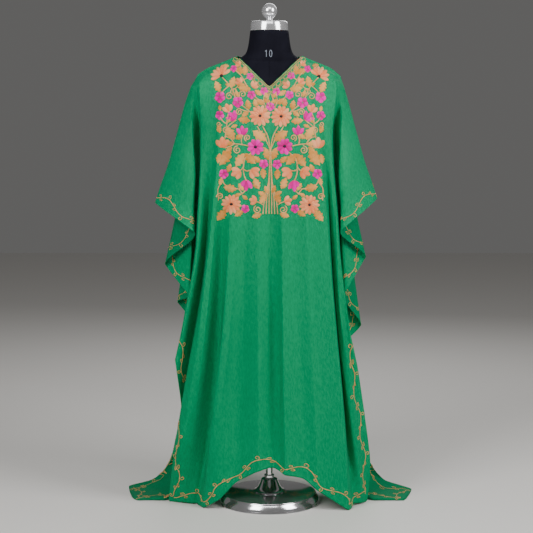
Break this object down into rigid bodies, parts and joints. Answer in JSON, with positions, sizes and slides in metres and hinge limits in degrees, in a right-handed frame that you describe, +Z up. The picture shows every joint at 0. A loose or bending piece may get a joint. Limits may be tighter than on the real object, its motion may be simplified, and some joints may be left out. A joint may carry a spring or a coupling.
{
  "type": "kaftan on a dress form",
  "caption": "Floor-length kaftan of green crepe with an embroidered bib and borders, draped on a limbless dress form on a round chrome foot.",
  "frame": {"origin": "centre of the underside of the round foot", "axes": "+Z up the pole, the garment's front faces -Y and its left sleeve, as worn, lies towards +X"},
  "size_m": [0.9154, 0.3251, 1.5386],
  "materials": {
    "green_crepe": "fine crinkled semi-sheer crepe with a soft sheen",
    "form_cover": "matt black stretch knit",
    "chrome": "polished"
  },
  "bodies": {
    "root": {"kaftan_front": "green_crepe", "kaftan_back": "green_crepe", "form_torso": "form_cover", "form_neck_cap": "chrome", "form_finial": "chrome", "form_pole": "chrome", "form_pole_collar": "chrome", "form_pole_bell": "chrome", "form_foot": "chrome"}
  },
  "joints": []
}
